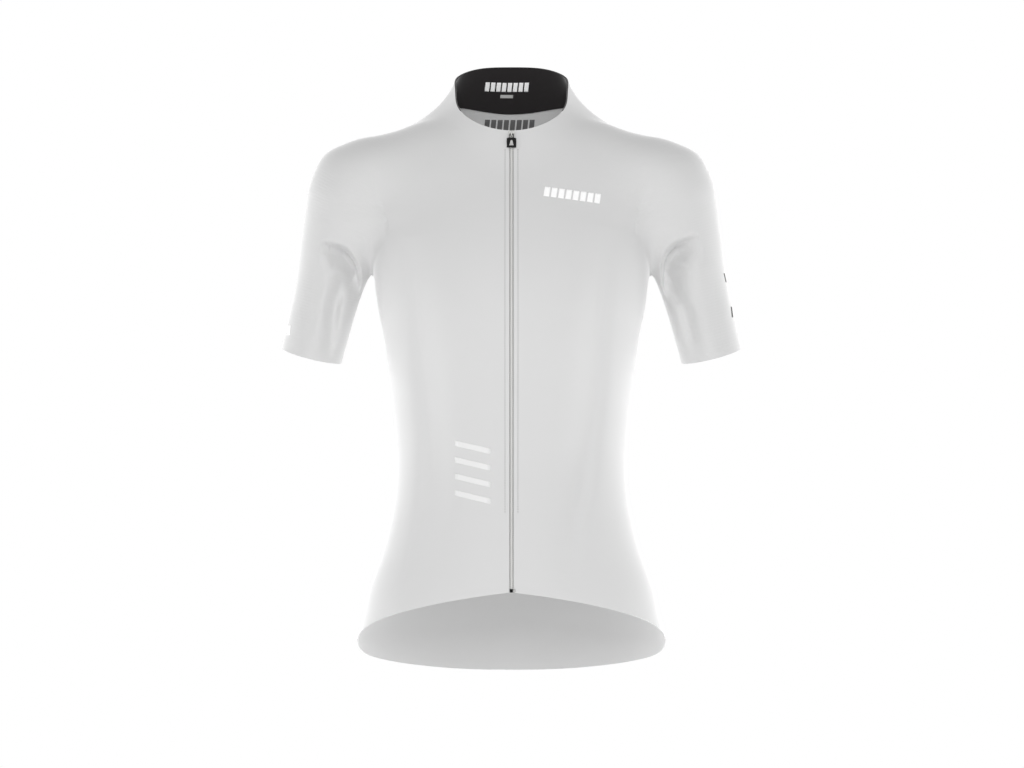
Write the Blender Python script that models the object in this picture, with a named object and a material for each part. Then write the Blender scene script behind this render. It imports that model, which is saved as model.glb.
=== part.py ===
"""Short-sleeved cycling jersey, worn shape, closed with a full-length front zip.

Frame: +X is the wearer's left, -Y the front, +Z up, in metres. The origin is the middle of
the neck base, level with the shoulders that hold the garment up.

The worn shape is one smooth form, blended from three tables of sections: torso, neck and
sleeve. Each cut piece is a grid of points on that form between its own seams, with a second
layer of points inwards for the thickness of its cloth.
"""

import math

import bmesh
import bpy
import numpy as np
from mathutils import Vector

# Cloth, in metres
SHELL_WALL = 0.0012
LINING_WALL = 0.0010
TAPE_WALL = 0.0010
SEAM_GAP = 0.0003
LAYER_GAP = 0.0005

# Torso sections, each an oval about the Z axis
TORSO_SECTIONS = (  # height, half width, front depth, back depth
    (-0.640, 0.1740, 0.106, 0.119),
    (-0.570, 0.1700, 0.105, 0.116),
    (-0.545, 0.1635, 0.104, 0.113),
    (-0.520, 0.1580, 0.102, 0.110),
    (-0.466, 0.1400, 0.096, 0.098),
    (-0.413, 0.1285, 0.090, 0.088),
    (-0.372, 0.1260, 0.088, 0.084),
    (-0.330, 0.1290, 0.093, 0.085),
    (-0.285, 0.1340, 0.103, 0.090),
    (-0.240, 0.1395, 0.114, 0.097),
    (-0.195, 0.1480, 0.119, 0.104),
    (-0.150, 0.1510, 0.113, 0.109),
    (-0.105, 0.1430, 0.097, 0.109),
    (-0.065, 0.1180, 0.078, 0.097),
    (-0.030, 0.0800, 0.056, 0.074),
    (0.005, 0.0500, 0.036, 0.045),
    (0.040, 0.0300, 0.025, 0.030),
    (0.100, 0.0200, 0.020, 0.020),
)
TORSO_POWER = 2.25

# Neck sections, each an oval about the Z axis
NECK_SECTIONS = (  # height, half width, front depth, back depth
    (-0.120, 0.060, 0.045, 0.060),
    (-0.050, 0.067, 0.060, 0.066),
    (-0.015, 0.067, 0.061, 0.066),
    (0.012, 0.063, 0.057, 0.065),
    (0.037, 0.056, 0.054, 0.062),
    (0.066, 0.052, 0.051, 0.059),
    (0.110, 0.051, 0.049, 0.057),
)
NECK_POWER = 2.0

# Sleeve core: a straight yoke line from the neck, a round bend at the shoulder point, and a
# straight line down the arm, all in the XZ plane
SHOULDER_CORNER = np.array((0.171, -0.065))
YOKE_FALL = math.radians(11.0)
ARM_LEAN = math.radians(14.8)
BEND_RADIUS = 0.040
CUFF_ALONG_ARM = 0.1725
CUFF_LEAN = 0.10

# Sleeve sections, each an oval square to the core, from the neck to past the cuff
SLEEVE_SECTIONS = (  # distance along the core, half width, half depth, set back
    (-0.140, 0.0360, 0.0400, 0.000),
    (-0.100, 0.0440, 0.0480, 0.001),
    (-0.060, 0.0500, 0.0540, 0.002),
    (-0.022, 0.0452, 0.0570, 0.003),
    (0.004, 0.0457, 0.0570, 0.004),
    (0.014, 0.0480, 0.0568, 0.004),
    (0.024, 0.0522, 0.0563, 0.005),
    (0.036, 0.0500, 0.0553, 0.005),
    (0.060, 0.0470, 0.0520, 0.006),
    (0.100, 0.0420, 0.0480, 0.009),
    (0.140, 0.0370, 0.0455, 0.013),
    (0.190, 0.0347, 0.0445, 0.018),
    (0.215, 0.0343, 0.0445, 0.021),
    (0.260, 0.0340, 0.0445, 0.025),
)

# How softly the three shapes run into each other
ARMPIT_BLEND = 0.012
SHOULDER_BLEND = 0.055
ARMPIT_LEVEL = -0.165
BLEND_RISE = 0.060
NECK_SIDE_BLEND = 0.080
NECK_FRONT_BLEND = 0.022
NECK_SIDE_BACK, NECK_SIDE_DEPTH = 0.028, 0.030

# Edges and seams, by the angle about the Z axis: -90 is the front, 0 the side, 90 the back
RIM_MIDDLE, RIM_TILT = 0.026, 0.041
RIM_SIDE_LIFT, RIM_SIDE_LEAN = 0.0105, 0.005
COLLAR_SEAM_MIDDLE, COLLAR_SEAM_TILT, COLLAR_SEAM_SIDE_LIFT = -0.010, 0.021, 0.022
LINING_LIFT = 0.0042
HEM_ROWS = (  # angle in degrees, height
    (-90, -0.5098),
    (-68, -0.5152),
    (-45, -0.5248),
    (-30, -0.5348),
    (-15, -0.5493),
    (0, -0.5685),
    (15, -0.5885),
    (30, -0.6005),
    (50, -0.6098),
    (70, -0.6138),
    (90, -0.6146),
)
ARMPIT = np.array((0.1535, 0.005, -0.1672))
FRONT_RAGLAN_ROWS = (  # x, y and z on the wearer's left
    (0.1540, -0.010, -0.160),
    (0.1540, -0.022, -0.150),
    (0.1500, -0.035, -0.137),
    (0.1420, -0.046, -0.122),
    (0.1300, -0.056, -0.105),
    (0.1150, -0.062, -0.085),
    (0.0990, -0.064, -0.064),
    (0.0800, -0.062, -0.043),
)
FRONT_RAGLAN_TOP = -46.0
BACK_RAGLAN_ROWS = (  # x, y and z on the wearer's left
    (0.1520, 0.020, -0.163),
    (0.1500, 0.033, -0.152),
    (0.1460, 0.045, -0.137),
    (0.1390, 0.056, -0.120),
    (0.1280, 0.065, -0.100),
    (0.1130, 0.071, -0.076),
    (0.0950, 0.072, -0.050),
    (0.0750, 0.067, -0.022),
)
BACK_RAGLAN_TOP = 51.0

# The zip and what is on it
ZIP_OPENING_HALF = 0.0024
CHAIN_HALF = 0.0020
CHAIN_RISE = 0.0003
CHAIN_THICKNESS = 0.0015
TAPE_HALF = 0.0085
SLIDER_MIDDLE = -0.0199
SLIDER_LENGTH = 0.0087
SLIDER_TOP_HALF, SLIDER_BOTTOM_HALF = 0.0038, 0.0023
SLIDER_LOW, SLIDER_HIGH = 0.0006, 0.0016
BRIDGE_HALF_LENGTH, BRIDGE_HALF_WIDTH = 0.0026, 0.0008
BRIDGE_HIGH, BRIDGE_THICKNESS = 0.0044, 0.0009
PIN_RADIUS = 0.0005
PIN_HIGH = 0.0026
EYE_HALF, EYE_ARM = 0.0023, 0.0008
TAB_START, TAB_END = 0.0039, 0.0148
TAB_HALF, TAB_THICKNESS = 0.0051, 0.0014
TAB_WINDOW_START, TAB_WINDOW_END = 0.0064, 0.0127
TAB_WINDOW_TOP_HALF, TAB_WINDOW_BOTTOM_HALF = 0.0009, 0.0027
END_HEIGHT = 0.0038
END_PIECES = (  # name, left side, right side, how low and how high it lies on the form, finish
    ("zip_box", -0.0018, 0.0013, -0.0011, 0.0012, "black_plastic"),
    ("zip_end_stop", 0.0017, 0.0041, 0.0003, 0.0016, "bright_metal"),
)

# Grid of each piece, in cells
SIDE_ROWS = 20
RAGLAN_ROWS = 12
FRONT_COLUMNS = 14
BACK_COLUMNS = 26
COLLAR_ROWS = 4
COLLAR_COLUMNS = 52
SLEEVE_TUBE_ROWS = 8
SLEEVE_CELLS_ROUND = 28
POCKET_HEM_ROWS, POCKET_ROWS = 1, 8
POCKET_SIDE_COLUMNS = 4

# Where rays start from inside the yoke, from the armpit's level up to the neck's
YOKE_CORE_LOW = np.array((0.196, 0.006, -0.150))
YOKE_CORE_HIGH = np.array((0.050, 0.000, -0.060))
RELAX_ROUNDS = 12

# Finishes: colour (linear RGB), roughness, metallic
FINISHES = {
    "shell_knit": ((0.66, 0.66, 0.65), 0.85, 0.0),
    "ribbed_knit": ((0.68, 0.68, 0.67), 0.88, 0.0),
    "black_lining": ((0.016, 0.014, 0.014), 0.80, 0.0),
    "zip_tape": ((0.60, 0.60, 0.59), 0.85, 0.0),
    "zip_chain": ((0.38, 0.38, 0.37), 0.45, 0.0),
    "bright_metal": ((0.62, 0.62, 0.62), 0.28, 1.0),
    "black_plastic": ((0.012, 0.012, 0.013), 0.45, 0.0),
}


# The form

def read_table(rows, at):
    """The columns after the first of a table, read smoothly at values of its first column."""
    rows = np.array(rows, float)
    keys, values = rows[:, 0], rows[:, 1:]
    step = np.diff(keys)
    rate = np.diff(values, axis=0) / step[:, None]
    slope = np.empty_like(values)
    slope[0], slope[-1] = rate[0], rate[-1]
    weight = (step[1:] / (step[1:] + step[:-1]))[:, None]
    slope[1:-1] = rate[:-1] * weight + rate[1:] * (1 - weight)
    at = np.clip(at, keys[0], keys[-1])
    k = np.clip(np.searchsorted(keys, at) - 1, 0, len(keys) - 2)
    t = ((at - keys[k]) / step[k])[..., None]
    span = step[k][..., None]
    read = (
        (2 * t**3 - 3 * t**2 + 1) * values[k]
        + (t**3 - 2 * t**2 + t) * span * slope[k]
        + (3 * t**2 - 2 * t**3) * values[k + 1]
        + (t**3 - t**2) * span * slope[k + 1]
    )
    return np.moveaxis(read, -1, 0)


def oval_field(u, v, half_u, half_v, power):
    """Signed distance, along the ray from the middle, to an oval."""
    reach = ((np.abs(u) / half_u) ** power + (np.abs(v) / half_v) ** power) ** (1 / power)
    return np.hypot(u, v) * (1 - 1 / np.maximum(reach, 1e-6))


def upright_field(sections, power, x, y, z):
    half_width, front, back = read_table(sections, z)
    return oval_field(x, y, half_width, np.where(y < 0, front, back), power)


class SleeveCore:
    """The sleeve's middle line in the XZ plane: yoke line, bend, arm line."""

    yoke = np.array((math.cos(YOKE_FALL), -math.sin(YOKE_FALL)))
    yoke_out = np.array((math.sin(YOKE_FALL), math.cos(YOKE_FALL)))
    arm = np.array((math.sin(ARM_LEAN), -math.cos(ARM_LEAN)))
    arm_out = np.array((math.cos(ARM_LEAN), math.sin(ARM_LEAN)))
    turn = math.pi / 2 - YOKE_FALL - ARM_LEAN
    tangent = BEND_RADIUS * math.tan(turn / 2)
    bend_start = SHOULDER_CORNER - yoke * tangent
    bend_end = SHOULDER_CORNER + arm * tangent
    pivot = bend_start - yoke_out * BEND_RADIUS
    bend_length = BEND_RADIUS * turn

    @classmethod
    def locate(cls, x, z):
        """How far along the core each point lies, and how far out from it."""
        plan = np.stack([x, z], axis=-1)
        from_start, from_end, from_pivot = (
            plan - place for place in (cls.bend_start, cls.bend_end, cls.pivot)
        )
        on_yoke = from_start @ cls.yoke
        on_arm = from_end @ cls.arm
        swing = np.arctan2(from_pivot @ cls.yoke, from_pivot @ cls.yoke_out)
        on_bend = BEND_RADIUS * np.clip(swing, 0, cls.turn)
        bent_out = np.hypot(from_pivot[..., 0], from_pivot[..., 1]) - BEND_RADIUS
        before, after = on_yoke < 0, on_arm > 0
        along = np.where(before, on_yoke, np.where(after, cls.bend_length + on_arm, on_bend))
        out = np.where(
            before, from_start @ cls.yoke_out, np.where(after, from_end @ cls.arm_out, bent_out)
        )
        return along, out


def sleeve_field(x, y, z):
    along, out = SleeveCore.locate(x, z)
    half_width, half_depth, set_back = read_table(SLEEVE_SECTIONS, along)
    return oval_field(out, y - set_back, half_width, half_depth, 2.0)


def blend(one, other, reach):
    """The union of two fields, with a fillet about as wide as reach."""
    near = np.clip(1 - np.abs(one - other) / reach, 0, 1)
    return np.minimum(one, other) - near**2 * reach / 4


def form_field(points):
    """Below 0 inside the worn shape, 0 on the outer face of its cloth."""
    x, y, z = np.abs(points[..., 0]), points[..., 1], points[..., 2]
    rise = np.clip((z - ARMPIT_LEVEL) / BLEND_RISE, 0, 1)
    rise = rise**2 * (3 - 2 * rise)
    arm_blend = ARMPIT_BLEND + (SHOULDER_BLEND - ARMPIT_BLEND) * rise
    torso = upright_field(TORSO_SECTIONS, TORSO_POWER, x, y, z)
    body = blend(torso, sleeve_field(x, y, z), arm_blend)
    side = np.exp(-(((y - NECK_SIDE_BACK) / NECK_SIDE_DEPTH) ** 2))
    neck_blend = NECK_FRONT_BLEND + (NECK_SIDE_BLEND - NECK_FRONT_BLEND) * side
    return blend(body, upright_field(NECK_SECTIONS, NECK_POWER, x, y, z), neck_blend)


def form_gradient(points):
    probe = 0.0002
    steps = probe * np.eye(3)
    return np.stack(
        [(form_field(points + s) - form_field(points - s)) / (2 * probe) for s in steps], axis=-1
    )


def outward(points):
    gradient = form_gradient(points)
    return gradient / np.linalg.norm(gradient, axis=-1, keepdims=True)


def snap(points):
    """Moves points that are near the form onto it."""
    for _ in range(6):
        gradient = form_gradient(points)
        steep = (gradient**2).sum(axis=-1, keepdims=True)
        points = points - gradient * form_field(points)[..., None] / np.maximum(steep, 0.05)
    return points


def cast(start, direction):
    """Where rays that start inside the form first leave it."""
    direction = direction / np.linalg.norm(direction, axis=-1, keepdims=True)
    near = np.zeros(np.broadcast_shapes(start.shape, direction.shape)[:-1])
    far = np.full_like(near, 0.30)
    leaving = np.zeros(near.shape, bool)
    for reach in np.arange(0.002, 0.300, 0.002):
        outside = form_field(start + direction * reach) > 0
        first = outside & ~leaving
        near[first], far[first] = reach - 0.002, reach
        leaving |= outside
    for _ in range(18):
        middle = (near + far) / 2
        outside = form_field(start + direction * middle[..., None]) > 0
        near, far = np.where(outside, near, middle), np.where(outside, middle, far)
    return start + direction * far[..., None]


def on_form(angle, height):
    """The form's point at an angle about the Z axis, in radians, and a height."""
    flat = np.stack([np.cos(angle), np.sin(angle), np.zeros_like(angle)], axis=-1)
    middle = np.stack([np.zeros_like(height), np.zeros_like(height), height], axis=-1)
    return cast(middle, flat)


# Seams and edges

def hem_height(angle):
    folded = np.degrees(np.arcsin(np.clip(np.sin(angle), -1, 1)))
    return read_table(HEM_ROWS, folded)[0]


def rim_height(angle):
    lift = (RIM_SIDE_LIFT + RIM_SIDE_LEAN * np.sin(angle)) * np.cos(angle) ** 2
    return RIM_MIDDLE + RIM_TILT * np.sin(angle) + lift


def collar_seam_height(angle):
    tilt = COLLAR_SEAM_TILT * np.sin(angle)
    return COLLAR_SEAM_MIDDLE + tilt + COLLAR_SEAM_SIDE_LIFT * np.cos(angle) ** 2


def front_edge_angle(height, half_opening):
    """The angle at which the form is half_opening to the wearer's left of the front line."""
    middle = on_form(np.full_like(height, -math.pi / 2), height)
    return np.arctan2(middle[..., 1], half_opening)


def even_steps(points, count):
    """Points spaced evenly along a route through the given ones."""
    points = np.asarray(points, float)
    walked = np.concatenate([[0], np.cumsum(np.linalg.norm(np.diff(points, axis=0), axis=1))])
    table = np.column_stack([walked, points])
    return read_table(table, np.linspace(0, walked[-1], count + 1)).T


def raglan_seam(rows, top_angle_deg):
    """Points from the armpit to the collar seam, on the wearer's left."""
    top = np.array([math.radians(top_angle_deg)])
    route = np.vstack([snap(np.vstack([ARMPIT, rows])), on_form(top, collar_seam_height(top))])
    seam = snap(even_steps(route, RAGLAN_ROWS))
    seam[0], seam[-1] = route[0], route[-1]
    return seam


def cylinder_place(points):
    return np.stack([np.arctan2(points[..., 1], points[..., 0]), points[..., 2]], axis=-1)


def side_edge(raglan):
    """(angle, height) up the side seam from the hem, then up the raglan seam."""
    top = cylinder_place(raglan)
    share = np.linspace(0, 1, SIDE_ROWS + 1)[:-1, None]
    hem = np.array((0.0, float(hem_height(np.array(0.0)))))
    return np.vstack([hem + (top[0] - hem) * share, top])


def fill_patch(bottom, top, left, right, share=None):
    """A Coons patch between four edges of matching corners, as a grid of rows."""
    u = (np.linspace(0, 1, len(bottom)) if share is None else share)[None, :, None]
    v = np.linspace(0, 1, len(left))[:, None, None]
    across = (1 - u) * left[:, None] + u * right[:, None]
    up = (1 - v) * bottom[None] + v * top[None]
    corners = (1 - v) * ((1 - u) * bottom[0] + u * bottom[-1]) + v * ((1 - u) * top[0] + u * top[-1])
    return across + up - corners


def pull_in(grid, amount, edges):
    """Draws the named edges of a grid of points back from their seams."""
    grid = grid.copy()
    slices = {
        "bottom": (np.s_[0], np.s_[1]), "top": (np.s_[-1], np.s_[-2]),
        "left": (np.s_[:, 0], np.s_[:, 1]), "right": (np.s_[:, -1], np.s_[:, -2]),
        "yoke_left": (np.s_[SLEEVE_TUBE_ROWS + 1:, 0], np.s_[SLEEVE_TUBE_ROWS + 1:, 1]),
        "yoke_right": (np.s_[SLEEVE_TUBE_ROWS + 1:, -1], np.s_[SLEEVE_TUBE_ROWS + 1:, -2]),
    }
    moves = []
    for edge in edges:
        rim, next_in = slices[edge]
        way = grid[next_in] - grid[rim]
        moves.append((rim, amount * way / np.linalg.norm(way, axis=-1, keepdims=True)))
    for rim, move in moves:
        grid[rim] += move
    return grid


def mirrored(grid):
    """The same piece for the wearer's right, its columns turned round so it faces out too."""
    return grid[:, ::-1] * np.array((-1.0, 1.0, 1.0))


# The cut pieces, as grids of points on the form

def front_grid():
    """Wearer's left front: columns run from the zip to the side, rows from the hem up."""
    edge = side_edge(raglan_seam(FRONT_RAGLAN_ROWS, FRONT_RAGLAN_TOP))
    front = np.array(-math.pi / 2)
    heights = np.linspace(float(hem_height(front)), float(collar_seam_height(front)), len(edge))
    left = np.column_stack([front_edge_angle(heights, ZIP_OPENING_HALF), heights])
    share = np.concatenate([[0, 0.055], np.linspace(0.055, 1, FRONT_COLUMNS)[1:]])
    bottom_angle = left[0, 0] + (edge[0, 0] - left[0, 0]) * share
    top_angle = left[-1, 0] + (edge[-1, 0] - left[-1, 0]) * share
    bottom = np.column_stack([bottom_angle, hem_height(bottom_angle)])
    top = np.column_stack([top_angle, collar_seam_height(top_angle)])
    place = fill_patch(bottom, top, left, edge, share)
    grid = on_form(place[..., 0], place[..., 1])
    grid[SIDE_ROWS:, -1] = raglan_seam(FRONT_RAGLAN_ROWS, FRONT_RAGLAN_TOP)
    return grid


def back_grid():
    """One back: columns run from the wearer's left side round to the right."""
    seam = raglan_seam(BACK_RAGLAN_ROWS, BACK_RAGLAN_TOP)
    edge = side_edge(seam)
    other = edge * (-1, 1) + (math.pi, 0)
    bottom_angle = np.linspace(edge[0, 0], other[0, 0], BACK_COLUMNS + 1)
    top_angle = np.linspace(edge[-1, 0], other[-1, 0], BACK_COLUMNS + 1)
    bottom = np.column_stack([bottom_angle, hem_height(bottom_angle)])
    top = np.column_stack([top_angle, collar_seam_height(top_angle)])
    place = fill_patch(bottom, top, edge, other)
    grid = on_form(place[..., 0], place[..., 1])
    grid[SIDE_ROWS:, 0] = seam
    grid[SIDE_ROWS:, -1] = seam * (-1, 1, 1)
    return grid


def collar_grid(lift=0.0):
    """The stand collar, from the zip round the back of the neck to the zip again.

    Its lower edge is lifted off the collar seam.
    """
    rows = np.linspace(0, 1, COLLAR_ROWS + 1)[:, None]
    front = np.array(-math.pi / 2)
    low, high = float(collar_seam_height(front)) + lift, float(rim_height(front))
    edge = front_edge_angle(low + (high - low) * rows[:, 0], ZIP_OPENING_HALF)[:, None]
    share = np.linspace(0, 1, COLLAR_COLUMNS + 1)[None]
    angle = edge + (math.pi - 2 * edge) * share
    height = (1 - rows) * (collar_seam_height(angle) + lift) + rows * rim_height(angle)
    return on_form(angle, height)


def sleeve_ring(along, cuff_share):
    """One ring of the sleeve tube, from the underarm round the front and back to it."""
    set_back = read_table(SLEEVE_SECTIONS, np.array(along))[2]
    middle = SleeveCore.bend_end + SleeveCore.arm * (along - SleeveCore.bend_length)
    start = np.array((middle[0], set_back, middle[1]))
    turn = np.linspace(0, 2 * math.pi, SLEEVE_CELLS_ROUND + 1)[:, None]
    inner = np.array((-SleeveCore.arm_out[0], 0, -SleeveCore.arm_out[1]))
    lean = CUFF_LEAN * cuff_share
    front = np.array((SleeveCore.arm[0] * lean, -1, SleeveCore.arm[1] * lean))
    return cast(start[None], np.cos(turn) * inner + np.sin(turn) * front)


def sleeve_grid():
    """Wearer's left raglan sleeve: rows run from the cuff up to the armpit, then to the neck."""
    armpit = snap(ARMPIT)
    armpit_along = float(SleeveCore.locate(armpit[0], armpit[2])[0])
    cuff_along = SleeveCore.bend_length + CUFF_ALONG_ARM
    shares = np.linspace(1, 0, SLEEVE_TUBE_ROWS + 1)
    tube = np.stack(
        [sleeve_ring(armpit_along + (cuff_along - armpit_along) * share, share) for share in shares]
    )
    tube[-1, 0] = tube[-1, -1] = armpit

    front = raglan_seam(FRONT_RAGLAN_ROWS, FRONT_RAGLAN_TOP)
    back = raglan_seam(BACK_RAGLAN_ROWS, BACK_RAGLAN_TOP)
    neck_angle = np.radians(np.linspace(FRONT_RAGLAN_TOP, BACK_RAGLAN_TOP, SLEEVE_CELLS_ROUND + 1))
    neck = on_form(neck_angle, collar_seam_height(neck_angle))
    guess = fill_patch(tube[-1], neck, front, back)
    core = YOKE_CORE_LOW + (YOKE_CORE_HIGH - YOKE_CORE_LOW) * np.linspace(0, 1, RAGLAN_ROWS + 1)[:, None]
    yoke = guess.copy()
    inside = np.s_[1:-1, 1:-1]
    start = np.broadcast_to(core[:, None], guess.shape)[inside]
    yoke[inside] = cast(start, guess[inside] - start)
    for _ in range(RELAX_ROUNDS):
        around = yoke[:-2, 1:-1] + yoke[2:, 1:-1] + yoke[1:-1, :-2] + yoke[1:-1, 2:]
        yoke[inside] = snap(around / 4)
    return np.vstack([tube, yoke[1:]])


# Solids

def finish(name):
    colour, roughness, metallic = FINISHES[name]
    material = bpy.data.materials.new(name)
    material.use_nodes = True
    shader = material.node_tree.nodes["Principled BSDF"]
    shader.inputs["Base Color"].default_value = (*colour, 1)
    shader.inputs["Roughness"].default_value = roughness
    shader.inputs["Metallic"].default_value = metallic
    return material


def add_object(name, mesh, material):
    mesh.materials.append(material)
    piece = bpy.data.objects.new(name, mesh)
    bpy.context.scene.collection.objects.link(piece)
    return piece


def moved_in(grid, depth):
    return grid - outward(grid) * depth


def cloth_piece(name, grid, wall, material, seams=(), tube_rows=0):
    """A wall of cloth whose outer face is the grid, drawn back from its seams.

    The first tube_rows rows of cells close into a tube.
    """
    faces = [pull_in(face, SEAM_GAP / 2, seams) for face in (grid, moved_in(grid, wall))]
    rows, columns = grid.shape[:2]
    index = np.arange(rows * columns).reshape(rows, columns)
    if tube_rows:
        index[: tube_rows + 1, -1] = index[: tube_rows + 1, 0]
    cells = np.stack([index[:-1, :-1], index[:-1, 1:], index[1:, 1:], index[1:, :-1]], axis=-1)
    cells = cells.reshape(-1, 4)
    edges = np.concatenate([cells[:, [k, (k + 1) % 4]] for k in range(4)])
    _, first, count = np.unique(np.sort(edges), axis=0, return_index=True, return_counts=True)
    rim = edges[first[count == 1]]
    beyond = rows * columns
    strip = np.column_stack([rim[:, 1], rim[:, 0], rim[:, 0] + beyond, rim[:, 1] + beyond])
    shell = bmesh.new()
    points = [shell.verts.new(point) for point in np.concatenate(faces).reshape(-1, 3)]
    outer = np.concatenate([cells[:, [0, 1, 2]], cells[:, [0, 2, 3]]])
    for corners in [*outer, *(outer[:, ::-1] + beyond), *strip]:
        shell.faces.new([points[k] for k in corners])
    loose = [point for point in points if not point.link_faces]
    bmesh.ops.delete(shell, geom=loose, context="VERTS")
    mesh = bpy.data.meshes.new(name)
    shell.to_mesh(mesh)
    shell.free()
    mesh.shade_smooth()
    mesh.set_sharp_from_angle(angle=math.radians(50))
    return add_object(name, mesh, material)


def make_body_and_sleeves(shell, ribbed):
    front = front_grid()
    cloth_piece("front_left", front, SHELL_WALL, shell, ("right", "top"))
    cloth_piece("front_right", mirrored(front), SHELL_WALL, shell, ("left", "top"))

    back = back_grid()
    cloth_piece("back", back, SHELL_WALL, shell, ("left", "right", "top"))
    rows = slice(POCKET_HEM_ROWS, POCKET_HEM_ROWS + POCKET_ROWS + 1)
    columns = slice(POCKET_SIDE_COLUMNS, BACK_COLUMNS + 1 - POCKET_SIDE_COLUMNS)
    pockets = moved_in(back[rows, columns], -(SHELL_WALL + LAYER_GAP))
    cloth_piece("back_pockets", pockets, SHELL_WALL, shell)

    sleeve = sleeve_grid()
    seams = ("yoke_left", "yoke_right", "top")
    cloth_piece("sleeve_left", sleeve, SHELL_WALL, ribbed, seams, SLEEVE_TUBE_ROWS)
    cloth_piece("sleeve_right", mirrored(sleeve), SHELL_WALL, ribbed, seams, SLEEVE_TUBE_ROWS)


def make_collar(shell, black):
    cloth_piece("collar", collar_grid(), SHELL_WALL, shell, ("bottom",))
    lining = moved_in(collar_grid(LINING_LIFT)[:, 1:-1], SHELL_WALL + LAYER_GAP)
    cloth_piece("collar_lining", lining, LINING_WALL, black)


def front_strip(sides, heights, depth):
    """Points beside the front line, sides across by heights up, moved in from the form."""
    angles = np.stack([front_edge_angle(heights, side) for side in sides], axis=1)
    return moved_in(on_form(angles, np.repeat(heights[:, None], len(sides), axis=1)), depth)


def front_frame(height):
    """A place on the front line, its outward direction, and the tilt that faces it."""
    place = on_form(np.array([-math.pi / 2]), np.array([height]))[0]
    out = outward(place)
    return Vector(place), Vector(out), math.atan2(-out[2], -out[1])


def make_zip(tape, chain):
    front = np.array(-math.pi / 2)
    hem, rim = float(hem_height(front)), float(rim_height(front))
    tape_depth = SHELL_WALL + LAYER_GAP
    rows = SIDE_ROWS + RAGLAN_ROWS
    heights = np.linspace(hem + SEAM_GAP, rim - SEAM_GAP, rows + 1)
    left = front_strip((SEAM_GAP / 2, TAPE_HALF), heights, tape_depth)
    cloth_piece("zip_tape_left", left, TAPE_WALL, tape)
    cloth_piece("zip_tape_right", mirrored(left), TAPE_WALL, tape)
    low = hem + END_HEIGHT + SEAM_GAP
    high = SLIDER_MIDDLE - SLIDER_LENGTH / 2 - SEAM_GAP
    teeth = front_strip((-CHAIN_HALF, CHAIN_HALF), np.linspace(low, high, rows + 1), -CHAIN_RISE)
    cloth_piece("zip_chain", teeth, CHAIN_THICKNESS, chain)


def prism(name, outline, low, high, material):
    """An outline in the local XZ plane, thick from low to high above it (towards local -Y)."""
    shape = bmesh.new()
    face = shape.faces.new([shape.verts.new((x, -low, z)) for x, z in outline])
    raised = bmesh.ops.extrude_face_region(shape, geom=[face])["geom"]
    corners = [item for item in raised if isinstance(item, bmesh.types.BMVert)]
    bmesh.ops.translate(shape, verts=corners, vec=(0, low - high, 0))
    bmesh.ops.recalc_face_normals(shape, faces=shape.faces)
    mesh = bpy.data.meshes.new(name)
    shape.to_mesh(mesh)
    shape.free()
    return add_object(name, mesh, material)


def soften(piece, width):
    edge = piece.modifiers.new("Soft edges", "BEVEL")
    edge.width = width
    edge.segments = 2
    edge.limit_method = "ANGLE"


def make_bridge():
    """The slider's arch, a helper that is joined to its plate."""
    top, bottom = BRIDGE_HALF_LENGTH, SLIDER_HIGH - BRIDGE_THICKNESS
    inner, roof = top - BRIDGE_THICKNESS, BRIDGE_HIGH - BRIDGE_THICKNESS
    profile = (
        (-top, bottom), (-top, BRIDGE_HIGH - BRIDGE_THICKNESS), (-inner, BRIDGE_HIGH),
        (inner, BRIDGE_HIGH), (top, BRIDGE_HIGH - BRIDGE_THICKNESS), (top, bottom),
        (inner, bottom), (inner, roof), (-inner, roof), (-inner, bottom),
    )
    shape = bmesh.new()
    side = [shape.verts.new((-BRIDGE_HALF_WIDTH, -high, along)) for along, high in profile]
    face = shape.faces.new(side)
    raised = bmesh.ops.extrude_face_region(shape, geom=[face])["geom"]
    corners = [item for item in raised if isinstance(item, bmesh.types.BMVert)]
    bmesh.ops.translate(shape, verts=corners, vec=(2 * BRIDGE_HALF_WIDTH, 0, 0))
    bmesh.ops.recalc_face_normals(shape, faces=shape.faces)
    mesh = bpy.data.meshes.new("bridge")
    shape.to_mesh(mesh)
    shape.free()
    bridge = bpy.data.objects.new("bridge", mesh)
    bpy.context.scene.collection.objects.link(bridge)
    bridge.hide_render = True
    bridge.display_type = "WIRE"
    return bridge


def make_slider(metal):
    place, _, tilt = front_frame(SLIDER_MIDDLE)
    half = SLIDER_LENGTH / 2
    outline = (
        (-SLIDER_BOTTOM_HALF, -half), (SLIDER_BOTTOM_HALF, -half),
        (SLIDER_TOP_HALF, half * 0.6), (SLIDER_TOP_HALF * 0.7, half),
        (-SLIDER_TOP_HALF * 0.7, half), (-SLIDER_TOP_HALF, half * 0.6),
    )
    slider = prism("zip_slider", outline, SLIDER_LOW, SLIDER_HIGH, metal)
    slider.location, slider.rotation_euler = place, (tilt, 0, 0)
    bridge = make_bridge()
    bridge.location, bridge.rotation_euler = place, (tilt, 0, 0)
    join = slider.modifiers.new("Bridge", "BOOLEAN")
    join.operation = "UNION"
    join.object = bridge


def rounded(outline, radius, steps=3):
    """The outline with each corner replaced by a short curve."""
    corners = [Vector(corner) for corner in outline]
    route = []
    for k, corner in enumerate(corners):
        back, ahead = corners[k - 1] - corner, corners[(k + 1) % len(corners)] - corner
        start, end = corner + back.normalized() * radius, corner + ahead.normalized() * radius
        for step in range(steps + 1):
            t = step / steps
            route.append(start.lerp(corner, t).lerp(corner.lerp(end, t), t))
    return route


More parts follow.
